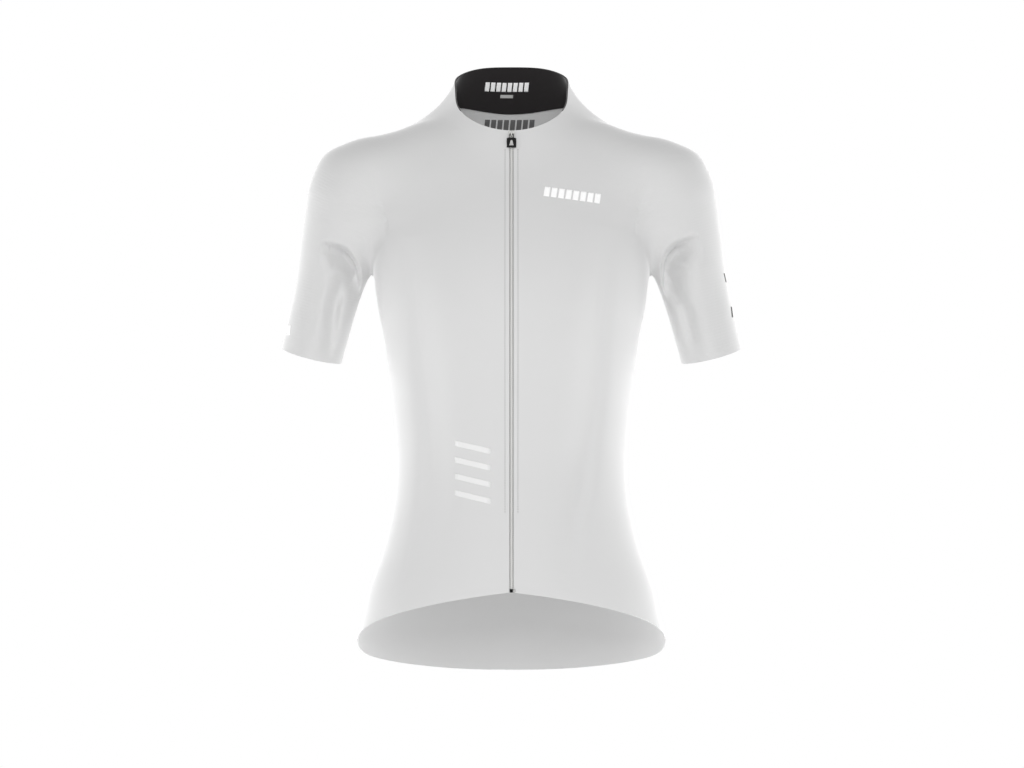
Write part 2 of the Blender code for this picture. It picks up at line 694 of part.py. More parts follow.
def make_pull_tab(black):
    """A flat tab with an eye round the bridge and a tapered window, on its hinge at the pin."""
    eye = EYE_HALF - EYE_ARM
    outer = [(-EYE_HALF, PIN_RADIUS), (EYE_HALF, PIN_RADIUS), (EYE_HALF, -TAB_START),
             (TAB_HALF, -TAB_START - EYE_ARM), (TAB_HALF, -TAB_END),
             (-TAB_HALF, -TAB_END), (-TAB_HALF, -TAB_START - EYE_ARM), (-EYE_HALF, -TAB_START)]
    holes = (
        [(-eye, -PIN_RADIUS), (eye, -PIN_RADIUS), (eye, -TAB_START), (-eye, -TAB_START)],
        [(-TAB_WINDOW_TOP_HALF, -TAB_WINDOW_START), (TAB_WINDOW_TOP_HALF, -TAB_WINDOW_START),
         (TAB_WINDOW_BOTTOM_HALF, -TAB_WINDOW_END), (-TAB_WINDOW_BOTTOM_HALF, -TAB_WINDOW_END)],
    )
    curve = bpy.data.curves.new("pull_tab", "CURVE")
    curve.dimensions = "2D"
    curve.fill_mode = "BOTH"
    curve.extrude = TAB_THICKNESS / 2
    for outline, radius in ((outer, 0.0006), (holes[0], 0.0003), (holes[1], 0.0003)):
        route = rounded(outline, radius)
        spline = curve.splines.new("POLY")
        spline.points.add(len(route) - 1)
        for point, (x, z) in zip(spline.points, route):
            point.co = (x, z, 0, 1)
        spline.use_cyclic_u = True
    curve.materials.append(black)
    tab = bpy.data.objects.new("pull_tab", curve)
    bpy.context.scene.collection.objects.link(tab)
    place, out, tilt = front_frame(SLIDER_MIDDLE)
    tab.location = place + out * PIN_HIGH
    tab.rotation_euler = (math.pi / 2 + tilt, 0, 0)


def make_end_pieces(finishes):
    """The box that holds the zip's end pin, and the stop beside it, both at the hem."""
    place, _, tilt = front_frame(float(hem_height(np.array(-math.pi / 2))) + END_HEIGHT / 2)
    half = END_HEIGHT / 2
    for name, left, right, low, high, finish_name in END_PIECES:
        outline = ((left, -half), (right, -half), (right, half), (left, half))
        piece = prism(name, outline, low, high, finishes[finish_name])
        piece.location, piece.rotation_euler = place, (tilt, 0, 0)
        soften(piece, 0.0004)


def make_all():
    for stale in list(bpy.data.objects):
        bpy.data.objects.remove(stale, do_unlink=True)
    finishes = {name: finish(name) for name in FINISHES}
    make_body_and_sleeves(finishes["shell_knit"], finishes["ribbed_knit"])
    make_collar(finishes["shell_knit"], finishes["black_lining"])
    make_zip(finishes["zip_tape"], finishes["zip_chain"])
    make_slider(finishes["bright_metal"])
    make_pull_tab(finishes["black_plastic"])
    make_end_pieces(finishes)


make_all()
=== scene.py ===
"""A short-sleeved cycling jersey in pale grey knit, in the hollow shape it has when worn."""
import math

import bmesh
import bpy
import numpy as np
from mathutils import Matrix, Vector


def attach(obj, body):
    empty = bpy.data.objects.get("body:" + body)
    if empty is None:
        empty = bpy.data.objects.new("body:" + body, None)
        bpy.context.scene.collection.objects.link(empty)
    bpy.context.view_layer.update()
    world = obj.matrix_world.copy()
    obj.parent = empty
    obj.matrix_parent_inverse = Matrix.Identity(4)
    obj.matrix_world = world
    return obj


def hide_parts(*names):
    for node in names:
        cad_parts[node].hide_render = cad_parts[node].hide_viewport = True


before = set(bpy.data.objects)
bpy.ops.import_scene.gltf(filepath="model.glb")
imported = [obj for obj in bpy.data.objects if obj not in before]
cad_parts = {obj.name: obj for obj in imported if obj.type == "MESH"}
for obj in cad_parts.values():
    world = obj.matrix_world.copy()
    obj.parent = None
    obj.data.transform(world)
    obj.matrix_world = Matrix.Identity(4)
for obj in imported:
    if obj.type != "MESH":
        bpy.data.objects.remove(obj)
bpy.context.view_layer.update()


# Studio. The jersey is seen level from the front at 3 m, as a garment on an unseen figure is
# shot: pale surroundings, a pale floor far below, a large softbox in front, one on each side,
# and three weaker ones low down, which light the inside of the hem and the undersides.

def linear(hex_colour):
    """An sRGB hex colour as linear RGBA."""
    parts = [int(hex_colour[k:k + 2], 16) / 255 for k in (1, 3, 5)]
    return (*(p / 12.92 if p <= 0.04045 else ((p + 0.055) / 1.055) ** 2.4 for p in parts), 1)


def add_node(tree, kind, inputs=(), **settings):
    """Adds a node, sets its properties, and sets or links each of its given inputs."""
    node = tree.nodes.new(kind)
    for key, value in settings.items():
        setattr(node, key, value)
    for socket, value in dict(inputs).items():
        if isinstance(value, bpy.types.NodeSocket):
            tree.links.new(value, node.inputs[socket])
        else:
            node.inputs[socket].default_value = value
    return node


def plain_finish(name, hex_colour, settings):
    """A material of one colour all over, with the given settings of its shader."""
    finish = bpy.data.materials.new(name)
    finish.use_nodes = True
    shader = finish.node_tree.nodes["Principled BSDF"]
    shader.inputs["Base Color"].default_value = linear(hex_colour)
    for socket, value in settings.items():
        shader.inputs[socket].default_value = value
    return finish


camera_distance, camera_aside, camera_height = 3.0, 0.00055, -0.288
frame_width = 1.1264  # what the camera sees across, at the middle of the garment
lens_camera = bpy.data.cameras.new("Studio camera")
lens_camera.sensor_width = 36.0
lens_camera.lens = lens_camera.sensor_width * camera_distance / frame_width
camera = bpy.data.objects.new("Studio camera", lens_camera)
camera.location = (camera_aside, -camera_distance, camera_height)
camera.rotation_euler = (math.pi / 2, 0, 0)
bpy.context.scene.collection.objects.link(camera)
bpy.context.scene.camera = camera
bpy.context.scene.view_settings.view_transform = "Standard"

# White all round for the eye. As a light, the wall behind is stronger than the rest of the room.
surroundings = bpy.data.worlds.new("White studio")
surroundings.use_nodes = True
lit = surroundings.node_tree
lit.nodes["Background"].inputs["Color"].default_value = linear("#FFFFFF")
facing = add_node(lit, "ShaderNodeTexCoord").outputs["Generated"]
depth = add_node(lit, "ShaderNodeSeparateXYZ", {"Vector": facing}).outputs["Y"]
glow = add_node(lit, "ShaderNodeMapRange", {
    "Value": depth, "From Min": 0.3, "From Max": 1.0,
    "To Min": 0.50, "To Max": 0.94}).outputs["Result"]
seen = add_node(lit, "ShaderNodeLightPath").outputs["Is Camera Ray"]
strength = add_node(lit, "ShaderNodeMix", {"Factor": seen, "A": glow, "B": 1.0}, data_type="FLOAT")
lit.links.new(strength.outputs["Result"], lit.nodes["Background"].inputs["Strength"])
bpy.context.scene.world = surroundings

floor_level, floor_radius = -1.40, 4.0
floor_mesh = bpy.data.meshes.new("Pale floor")
shape = bmesh.new()
bmesh.ops.create_circle(shape, cap_ends=True, radius=floor_radius, segments=96,
                        matrix=Matrix.Translation((0, 0, floor_level)))
shape.to_mesh(floor_mesh)
shape.free()
floor_mesh.materials.append(plain_finish("Matt white floor paint", "#F4F4F4", {"Roughness": 0.9}))
floor = bpy.data.objects.new("Pale_floor", floor_mesh)
bpy.context.scene.collection.objects.link(floor)

lit_middle = Vector((0, 0, -0.3))
softboxes = {  # name: place, size (m), power (W)
    "Front softbox": ((0.0, -3.1, 0.8), 1.2, 41.0),
    "Left softbox": ((-2.25, 0.95, -0.3), 1.4, 21.0),
    "Right softbox": ((2.25, 0.95, -0.3), 1.4, 21.0),
    "Low front softbox": ((0.0, -1.3, -1.30), 0.9, 5.4),
    "Low left softbox": ((-0.95, 0.48, -1.20), 0.8, 8.0),
    "Low right softbox": ((0.95, 0.48, -1.20), 0.8, 8.0),
}
for name, (place, size, power) in softboxes.items():
    box_light = bpy.data.lights.new(name, "AREA")
    box_light.size, box_light.energy = size, power
    softbox = bpy.data.objects.new(name, box_light)
    softbox.location = place
    softbox.rotation_euler = (lit_middle - Vector(place)).to_track_quat("-Z", "Y").to_euler()
    bpy.context.scene.collection.objects.link(softbox)


# The worn form. Every panel is cut to lie on one smooth shape, which a general figure gives the
# cloth: three tables of oval sections, for torso, neck and sleeve, blended where they meet.

torso_sections = (  # height, half width, front depth, back depth
    (-0.640, 0.1740, 0.106, 0.119),
    (-0.570, 0.1700, 0.105, 0.116),
    (-0.545, 0.1635, 0.104, 0.113),
    (-0.520, 0.1580, 0.102, 0.110),
    (-0.466, 0.1400, 0.096, 0.098),
    (-0.413, 0.1285, 0.090, 0.088),
    (-0.372, 0.1260, 0.088, 0.084),
    (-0.330, 0.1290, 0.093, 0.085),
    (-0.285, 0.1340, 0.103, 0.090),
    (-0.240, 0.1395, 0.114, 0.097),
    (-0.195, 0.1480, 0.119, 0.104),
    (-0.150, 0.1510, 0.113, 0.109),
    (-0.105, 0.1430, 0.097, 0.109),
    (-0.065, 0.1180, 0.078, 0.097),
    (-0.030, 0.0800, 0.056, 0.074),
    (0.005, 0.0500, 0.036, 0.045),
    (0.040, 0.0300, 0.025, 0.030),
    (0.100, 0.0200, 0.020, 0.020),
)
neck_sections = (  # height, half width, front depth, back depth
    (-0.120, 0.060, 0.045, 0.060),
    (-0.050, 0.067, 0.060, 0.066),
    (-0.015, 0.067, 0.061, 0.066),
    (0.012, 0.063, 0.057, 0.065),
    (0.037, 0.056, 0.054, 0.062),
    (0.066, 0.052, 0.051, 0.059),
    (0.110, 0.051, 0.049, 0.057),
)
sleeve_sections = (  # distance along the core, half width, half depth, set back
    (-0.140, 0.0360, 0.0400, 0.000),
    (-0.100, 0.0440, 0.0480, 0.001),
    (-0.060, 0.0500, 0.0540, 0.002),
    (-0.022, 0.0452, 0.0570, 0.003),
    (0.004, 0.0457, 0.0570, 0.004),
    (0.014, 0.0480, 0.0568, 0.004),
    (0.024, 0.0522, 0.0563, 0.005),
    (0.036, 0.0500, 0.0553, 0.005),
    (0.060, 0.0470, 0.0520, 0.006),
    (0.100, 0.0420, 0.0480, 0.009),
    (0.140, 0.0370, 0.0455, 0.013),
    (0.190, 0.0347, 0.0445, 0.018),
    (0.215, 0.0343, 0.0445, 0.021),
    (0.260, 0.0340, 0.0445, 0.025),
)
torso_squareness, round_section = 2.25, 2.0
shoulder_corner = np.array((0.171, -0.065))
yoke_fall, arm_lean, shoulder_bend = math.radians(11.0), math.radians(14.8), 0.040
armpit_blend, shoulder_blend, armpit_level, blend_rise = 0.012, 0.055, -0.165, 0.060
neck_front_blend, neck_side_blend, neck_side_back, neck_side_depth = 0.022, 0.080, 0.028, 0.030

along_yoke = np.array((math.cos(yoke_fall), -math.sin(yoke_fall)))
above_yoke = np.array((math.sin(yoke_fall), math.cos(yoke_fall)))
along_arm = np.array((math.sin(arm_lean), -math.cos(arm_lean)))
outside_arm = np.array((math.cos(arm_lean), math.sin(arm_lean)))
shoulder_turn = math.pi / 2 - yoke_fall - arm_lean
bend_length = shoulder_bend * shoulder_turn
bend_start = shoulder_corner - along_yoke * shoulder_bend * math.tan(shoulder_turn / 2)
bend_end = shoulder_corner + along_arm * shoulder_bend * math.tan(shoulder_turn / 2)
bend_middle = bend_start - above_yoke * shoulder_bend


def read_table(rows, at):
    """The columns after the first of a table, read smoothly at values of its first column."""
    rows = np.array(rows, float)
    keys, values = rows[:, 0], rows[:, 1:]
    step = np.diff(keys)
    rate = np.diff(values, axis=0) / step[:, None]
    slope = np.empty_like(values)
    slope[0], slope[-1] = rate[0], rate[-1]
    weight = (step[1:] / (step[1:] + step[:-1]))[:, None]
    slope[1:-1] = rate[:-1] * weight + rate[1:] * (1 - weight)
    at = np.clip(at, keys[0], keys[-1])
    k = np.clip(np.searchsorted(keys, at) - 1, 0, len(keys) - 2)
    t = ((at - keys[k]) / step[k])[..., None]
    span = step[k][..., None]
    read = ((2 * t**3 - 3 * t**2 + 1) * values[k] + (t**3 - 2 * t**2 + t) * span * slope[k]
            + (3 * t**2 - 2 * t**3) * values[k + 1] + (t**3 - t**2) * span * slope[k + 1])
    return np.moveaxis(read, -1, 0)


def oval_field(u, v, half_u, half_v, power):
    """Signed distance, along the ray from the middle, to an oval."""
    reach = ((np.abs(u) / half_u) ** power + (np.abs(v) / half_v) ** power) ** (1 / power)
    return np.hypot(u, v) * (1 - 1 / np.maximum(reach, 1e-6))


def upright_field(sections, power, x, y, z):
    """Signed distance to a column of ovals about the Z axis."""
    half_width, front, back = read_table(sections, z)
    return oval_field(x, y, half_width, np.where(y < 0, front, back), power)


def along_sleeve(x, z):
    """How far along the sleeve's bent core each point lies, and how far out from it."""
    plan = np.stack([x, z], axis=-1)
    from_start, from_end, from_middle = plan - bend_start, plan - bend_end, plan - bend_middle
    on_yoke, on_arm = from_start @ along_yoke, from_end @ along_arm
    swing = np.arctan2(from_middle @ along_yoke, from_middle @ above_yoke)
    bent_out = np.hypot(from_middle[..., 0], from_middle[..., 1]) - shoulder_bend
    along = np.where(on_yoke < 0, on_yoke, np.where(
        on_arm > 0, bend_length + on_arm, shoulder_bend * np.clip(swing, 0, shoulder_turn)))
    out = np.where(on_yoke < 0, from_start @ above_yoke,
                   np.where(on_arm > 0, from_end @ outside_arm, bent_out))
    return along, out


def blend(one, other, reach):
    """The union of two fields, with a fillet about as wide as reach."""
    near = np.clip(1 - np.abs(one - other) / reach, 0, 1)
    return np.minimum(one, other) - near**2 * reach / 4


def form_field(points):
    """Below 0 inside the worn shape, 0 on the outer face of its cloth."""
    x, y, z = np.abs(points[..., 0]), points[..., 1], points[..., 2]
    rise = np.clip((z - armpit_level) / blend_rise, 0, 1)
    rise = rise**2 * (3 - 2 * rise)
    torso = upright_field(torso_sections, torso_squareness, x, y, z)
    along, out = along_sleeve(x, z)
    half_width, half_depth, set_back = read_table(sleeve_sections, along)
    sleeve = oval_field(out, y - set_back, half_width, half_depth, round_section)
    body = blend(torso, sleeve, armpit_blend + (shoulder_blend - armpit_blend) * rise)
    side = np.exp(-(((y - neck_side_back) / neck_side_depth) ** 2))
    neck = upright_field(neck_sections, round_section, x, y, z)
    return blend(body, neck, neck_front_blend + (neck_side_blend - neck_front_blend) * side)


def form_gradient(points, probe=0.0002):
    rise = [form_field(points + step) - form_field(points - step) for step in probe * np.eye(3)]
    return np.stack(rise, axis=-1) / (2 * probe)


def outward(points):
    """The direction out of the form at each point."""
    gradient = form_gradient(points)
    return gradient / np.linalg.norm(gradient, axis=-1, keepdims=True)


def snap(points, rounds=3):
    """Moves points that are near the form onto it."""
    for _ in range(rounds):
        gradient = form_gradient(points)
        steep = (gradient**2).sum(axis=-1, keepdims=True)
        points = points - gradient * form_field(points)[..., None] / np.maximum(steep, 0.05)
    return points


def cast(start, direction, step=0.004, furthest=0.300, halvings=14):
    """Where rays that start inside the form first leave it."""
    direction = direction / np.linalg.norm(direction, axis=-1, keepdims=True)
    near = np.zeros(np.broadcast_shapes(start.shape, direction.shape)[:-1])
    far, leaving = np.full_like(near, furthest), np.zeros(near.shape, bool)
    for reach in np.arange(step, furthest, step):
        outside = form_field(start + direction * reach) > 0
        first = outside & ~leaving
        near[first], far[first] = reach - step, reach
        leaving |= outside
    for _ in range(halvings):
        middle = (near + far) / 2
        outside = form_field(start + direction * middle[..., None]) > 0
        near, far = np.where(outside, near, middle), np.where(outside, middle, far)
    return start + direction * far[..., None]


def on_form(angle, height):
    """The form's point at an angle about the Z axis (-90 degrees is the front) and a height."""
    angle, height = np.broadcast_arrays(np.asarray(angle, float), np.asarray(height, float))
    flat = np.stack([np.cos(angle), np.sin(angle), np.zeros_like(angle)], axis=-1)
    middle = np.stack([np.zeros_like(height), np.zeros_like(height), height], axis=-1)
    return cast(middle, flat)


def finer(grid, times):
    """The grid with each cell cut into times by times smooth ones, laid back on the form."""
    for axis in (0, 1):
        lines = np.moveaxis(grid, axis, 0)
        count = len(lines)
        table = np.column_stack([np.arange(count), lines.reshape(count, -1)])
        fine = read_table(table, np.linspace(0, count - 1, (count - 1) * times + 1))
        fine = fine.reshape(*lines.shape[1:], -1)
        grid = np.moveaxis(np.moveaxis(fine, -1, 0), 0, axis)
    return snap(grid)


# The creases. One height is read from each place on the form, so that a crease runs on over a
# seam. Each is a ridge or a trough along a route on the front (-1, its way out is -Y) or the back.
# Those at the armpits are steep towards the body and long towards the arm, which tucks in behind.

creases = {  # route of (x, z) points, half width inside and outside it, height, way out of the form
    "Right armpit fold": (
        ((-0.207, -0.137), (-0.194, -0.139), (-0.1832, -0.144), (-0.1760, -0.152), (-0.1715, -0.161),
         (-0.1688, -0.175), (-0.1680, -0.188), (-0.1695, -0.204)), 0.0034, 0.0170, -0.0240, -1),
    "Right armpit ridge": (
        ((-0.180, -0.130), (-0.1665, -0.144), (-0.1610, -0.158), (-0.1600, -0.172),
         (-0.1620, -0.186)), 0.0110, 0.0050, 0.0020, -1),
    "Right underarm tuck": (
        ((-0.1550, -0.170), (-0.1605, -0.180), (-0.1635, -0.192), (-0.1665, -0.206)),
        0.0024, 0.0070, -0.0080, -1),
    "Right inner arm furrow": (
        ((-0.186, -0.165), (-0.190, -0.188), (-0.194, -0.208), (-0.196, -0.229), (-0.199, -0.250),
         (-0.203, -0.275)), 0.0070, 0.0085, -0.0120, -1),
    "Right outer arm furrow": (
        ((-0.203, -0.150), (-0.214, -0.195), (-0.226, -0.246)), 0.0070, 0.0080, -0.0012, -1),
    "Left armpit fold": (
        ((0.204, -0.128), (0.188, -0.1345), (0.1765, -0.142), (0.1700, -0.152), (0.1682, -0.166),
         (0.1690, -0.184), (0.1725, -0.204)), 0.0034, 0.0180, -0.0240, -1),
    "Left armpit ridge": (
        ((0.172, -0.126), (0.1620, -0.144), (0.1600, -0.162), (0.1640, -0.182)),
        0.0100, 0.0046, 0.0018, -1),
    "Left underarm tuck": (
        ((0.1555, -0.168), (0.1600, -0.176), (0.1675, -0.188), (0.1715, -0.202)),
        0.0024, 0.0065, -0.0070, -1),
    "Left inner arm furrow": (
        ((0.172, -0.172), (0.1785, -0.191), (0.189, -0.208), (0.1937, -0.229), (0.198, -0.246),
         (0.204, -0.272)), 0.0072, 0.0085, -0.0112, -1),
    "Left outer arm furrow": (
        ((0.216, -0.160), (0.226, -0.215), (0.233, -0.254)), 0.0075, 0.0080, -0.0012, -1),
    "Right back armpit fold": (
        ((-0.196, -0.128), (-0.182, -0.142), (-0.173, -0.160), (-0.169, -0.182), (-0.170, -0.204)),
        0.0036, 0.0155, -0.0110, 1),
    "Right back armpit ridge": (
        ((-0.174, -0.132), (-0.163, -0.150), (-0.160, -0.172)), 0.0060, 0.0055, 0.0024, 1),
    "Left back armpit fold": (
        ((0.200, -0.134), (0.186, -0.144), (0.175, -0.160), (0.1695, -0.180), (0.170, -0.200)),
        0.0034, 0.0160, -0.0118, 1),
    "Left back armpit ridge": (
        ((0.178, -0.136), (0.166, -0.150), (0.161, -0.168)), 0.0055, 0.0050, 0.0025, 1),
    "Right back arm furrow": (
        ((-0.184, -0.190), (-0.197, -0.222), (-0.203, -0.258)), 0.0080, 0.0095, -0.0036, 1),
    "Left back arm furrow": (
        ((0.190, -0.176), (0.199, -0.216), (0.206, -0.256)), 0.0085, 0.0085, -0.0040, 1),
    "Right front hollow": (
        ((-0.106, -0.130), (-0.101, -0.190), (-0.096, -0.250), (-0.089, -0.320), (-0.086, -0.390),
         (-0.098, -0.460), (-0.118, -0.530)), 0.0200, 0.0130, -0.0070, -1),
    "Left front hollow": (
        ((0.101, -0.120), (0.096, -0.180), (0.092, -0.240), (0.086, -0.310), (0.076, -0.380),
         (0.066, -0.440), (0.058, -0.510)), 0.0200, 0.0130, -0.0070, -1),
    "Right back hollow": (
        ((-0.060, -0.250), (-0.052, -0.330), (-0.058, -0.400)), 0.0180, 0.0150, -0.0026, 1),
    "Left back hollow": (
        ((0.066, -0.235), (0.055, -0.320), (0.061, -0.395)), 0.0170, 0.0160, -0.0024, 1),
}
route_steps, end_taper = 120, 5.0  # a crease dies out over about a quarter of its route
roundness = 0.25  # how quickly a crease reaches its height beside its route
edge_depth = 0.025  # creases fade out from this distance in Y to the sides of the form


def crease_shift(points):
    """How the creases move each point of the form. Bends in a route are rounded off."""
    shift = np.zeros(points.shape)
    for route, inside, outside, high, way in creases.values():
        route = np.array(route)
        line = read_table(np.column_stack([np.arange(len(route)), route]),
                          np.linspace(0, len(route) - 1, route_steps + 1)).T
        spacing = np.linalg.norm(np.diff(line, axis=0), axis=1).mean()
        apart = np.hypot(points[..., 0, None] - line[:, 0], points[..., 2, None] - line[:, 1])
        nearest = apart.argmin(axis=-1)
        beyond = np.abs(points[..., 0]) > np.abs(line[nearest, 0])
        width = np.where(beyond, outside, inside)
        near = np.exp(-4 * (apart / width[..., None]) ** 2).sum(axis=-1)
        share = near * spacing / (width * math.sqrt(math.pi / 4))
        along = nearest / route_steps
        taper = np.clip(end_taper * along * (1 - along), 0, 1)
        facing = np.clip(way * points[..., 1] / edge_depth, 0, 1)
        shift[..., 1] += way * high * np.minimum(share, 1) ** roundness * taper * facing
    return shift


# The fronts: two panels of light polyester knit, each cut from the side seam to the zip, where
# its edge is turned in and topstitched. They end at a raglan seam, a collar seam and the hem.

shell_wall, solid_wall, layer_gap = 0.0009, 0.0012, 0.0005
cells_split = 7  # how many smooth cells each cell of a panel's grid is cut into, both ways
zip_opening_half = 0.0022
armpit = np.array((0.1535, 0.005, -0.1672))
hem_rows = (  # angle about the Z axis (degrees), height
    (-90, -0.5098),
    (-68, -0.5152),
    (-45, -0.5248),
    (-30, -0.5348),
    (-15, -0.5493),
    (0, -0.5685),
    (15, -0.5885),
    (30, -0.6005),
    (50, -0.6098),
    (70, -0.6138),
    (90, -0.6146),
)
front_raglan_rows = (  # place on the wearer's left
    (0.1540, -0.010, -0.160),
    (0.1540, -0.022, -0.150),
    (0.1500, -0.035, -0.137),
    (0.1420, -0.046, -0.122),
    (0.1300, -0.056, -0.105),
    (0.1150, -0.062, -0.085),
    (0.0990, -0.064, -0.064),
    (0.0800, -0.062, -0.043),
)
front_raglan_top = math.radians(-46.0)
side_rows, raglan_rows, front_columns = 20, 12, 14
front_line = np.array(-math.pi / 2)
seam_middle, seam_tilt, seam_side_rise = -0.010, 0.021, 0.022


def hem_height(angle):
    """The hem's height, the same on both sides."""
    folded = np.degrees(np.arcsin(np.clip(np.sin(angle), -1, 1)))
    return read_table(hem_rows, folded)[0]


def collar_seam_height(angle):
    """The height of the seam round the base of the neck, which is lowest at the front."""
    return seam_middle + seam_tilt * np.sin(angle) + seam_side_rise * np.cos(angle) ** 2


def front_edge_angle(height, aside):
    """The angle at which the form is a distance aside of the front line."""
    middle = on_form(front_line, height)
    return np.arctan2(middle[..., 1], aside)


def even_steps(points, count):
    """Points spaced evenly along a route through the given ones."""
    points = np.asarray(points, float)
    walked = np.concatenate([[0], np.cumsum(np.linalg.norm(np.diff(points, axis=0), axis=1))])
    return read_table(np.column_stack([walked, points]), np.linspace(0, walked[-1], count + 1)).T


def raglan_seam(rows, top_angle):
    """Points from the armpit to the collar seam, on the wearer's left."""
    top = on_form(top_angle, collar_seam_height(top_angle))
    route = np.vstack([snap(np.vstack([armpit, rows]), 6), top])
    seam = snap(even_steps(route, raglan_rows), 6)
    seam[0], seam[-1] = route[0], route[-1]
    return seam


def side_edge(raglan):
    """(angle, height) up the side seam from the hem, then up the raglan seam."""
    top = np.stack([np.arctan2(raglan[:, 1], raglan[:, 0]), raglan[:, 2]], axis=-1)
    share = np.linspace(0, 1, side_rows + 1)[:-1, None]
    hem = np.array((0.0, float(hem_height(np.array(0.0)))))
    return np.vstack([hem + (top[0] - hem) * share, top])


def fill_patch(bottom, top, left, right, share):
    """A Coons patch between four edges of matching corners, as a grid of rows."""
    u = share[None, :, None]
    v = np.linspace(0, 1, len(left))[:, None, None]
    across = (1 - u) * left[:, None] + u * right[:, None]
    up = (1 - v) * bottom[None] + v * top[None]
    low = (1 - u) * bottom[0] + u * bottom[-1]
    high = (1 - u) * top[0] + u * top[-1]
    return across + up - (1 - v) * low - v * high


def panel(left, right, bottom_share, edge):
    """A grid between two edges given as (angle, height), the hem and the collar seam."""
    bottom = left[0, 0] + (right[0, 0] - left[0, 0]) * bottom_share
    top = left[-1, 0] + (right[-1, 0] - left[-1, 0]) * bottom_share
    place = fill_patch(np.column_stack([bottom, hem_height(bottom)]),
                       np.column_stack([top, collar_seam_height(top)]), left, right, bottom_share)
    grid = on_form(place[..., 0], place[..., 1])
    grid[side_rows:, -1] = edge
    return grid


def evened(grid):
    """The grid with the rows above the armpit spaced evenly between their two edges."""
    for row in grid[side_rows + 1:]:
        row[1:-1] = snap(even_steps(row, len(row) - 1)[1:-1])
    return grid


def cells(index):
    """The four corners of each cell in a grid of point numbers."""
    corners = (index[:-1, :-1], index[:-1, 1:], index[1:, 1:], index[1:, :-1])
    return np.stack(corners, axis=-1).reshape(-1, 4)


def cloth_mesh(name, grid, depth=0.0, tube_rows=0):
    """A grid of the form as one layer of faces, creased, at a depth inside the form's skin.

    Its UV map is in metres, across and along the grid. The first tube_rows rows close round.
    """
    place = grid + crease_shift(grid) - outward(grid) * depth
    rows, columns = grid.shape[:2]
    index = np.arange(rows * columns).reshape(rows, columns)
    joined = index.copy()
    if tube_rows:
        joined[:tube_rows + 1, -1] = joined[:tube_rows + 1, 0]
    mesh = bpy.data.meshes.new(name)
    mesh.from_pydata(place.reshape(-1, 3), [], cells(joined).tolist())
    across = np.linalg.norm(np.diff(grid, axis=1), axis=-1).cumsum(axis=1)
    across = np.column_stack([np.zeros(rows), across]) - across[:, -1:] / 2
    along = np.linalg.norm(np.diff(grid, axis=0), axis=-1).mean(axis=1).cumsum()
    along = np.broadcast_to(np.concatenate([[0], along])[:, None], (rows, columns))
    flat = np.stack([across, along], axis=-1).reshape(-1, 2)
    cut = mesh.uv_layers.new(name="Cut")
    cut.uv.foreach_set("vector", flat[cells(index).reshape(-1)].astype(np.float32).reshape(-1))
    mesh.shade_smooth()
    tidy = bmesh.new()
    tidy.from_mesh(mesh)
    loose = [point for point in tidy.verts if not point.link_faces]
    bmesh.ops.delete(tidy, geom=loose, context="VERTS")
    for edge in tidy.edges:
        edge.smooth = not edge.is_boundary
    tidy.to_mesh(mesh)
    tidy.free()
    return mesh


def cloth(name, mesh, wall, finish):
    """The mesh as a thin piece of cloth, its wall added inwards."""
    mesh.materials.append(finish)
    piece = bpy.data.objects.new(name, mesh)
    bpy.context.scene.collection.objects.link(piece)
    thick = piece.modifiers.new("Cloth thickness", "SOLIDIFY")
    thick.thickness, thick.offset, thick.use_even_offset = wall, -1.0, False
    return piece


def mirrored(grid):
    """The same piece for the wearer's right, its columns turned round so it faces out too."""
    return grid[:, ::-1] * np.array((-1.0, 1.0, 1.0))


def seamed(grid, rows=(-1,)):
    """The grid with the named rows laid exactly along the collar seam."""
    grid = grid.copy()
    for row in rows:
        angle = np.arctan2(grid[row, :, 1], grid[row, :, 0])
        grid[row] = on_form(angle, collar_seam_height(angle))
    return grid


def front_grid():
    """Wearer's left front: columns run from the zip to the side, rows from the hem up."""
    seam = raglan_seam(front_raglan_rows, front_raglan_top)
    edge = side_edge(seam)
    low, high = float(hem_height(front_line)), float(collar_seam_height(front_line))
    heights = np.linspace(low, high, len(edge))
    left = np.column_stack([front_edge_angle(heights, zip_opening_half), heights])
    return evened(panel(left, edge, np.linspace(0, 1, front_columns + 1), seam))


def knit_finish(name, colour, sheen=1.0):
    """Fine circular knit of polyester: a matt yarn with a faint loop relief and a soft nap."""
    finish = plain_finish(name, colour, {
        "Roughness": 0.85, "IOR": 1.5, "Specular IOR Level": 0.25, "Sheen Weight": sheen,
        "Sheen Roughness": 0.42, "Sheen Tint": linear("#FFFFFF")})
    tree = finish.node_tree
    place = add_node(tree, "ShaderNodeTexCoord").outputs["Object"]
    # loops about 0.9 mm apart
    loops = add_node(tree, "ShaderNodeTexNoise", {"Vector": place, "Scale": 1100.0, "Detail": 1.0})
    relief = add_node(tree, "ShaderNodeBump", {
        "Height": loops.outputs["Fac"], "Strength": 0.25, "Distance": 0.0002})
    tree.links.new(relief.outputs["Normal"], tree.nodes["Principled BSDF"].inputs["Normal"])
    return finish


# bright polyester yarn: pale, and white where the cloth turns away
shell_knit = knit_finish("Polyester body knit, light grey", "#D2D2D2")

front_flat = seamed(finer(front_grid(), cells_split))
for name, grid in (("Front_left", front_flat), ("Front_right", mirrored(front_flat))):
    front = cloth(name, cloth_mesh(name, grid), shell_wall, shell_knit)
    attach(front, "body")
    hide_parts(name.lower())


# The back: one panel of the same knit from side seam to side seam, cut about 100 mm longer
# than the fronts at its middle, so that it covers a rider who bends forward.

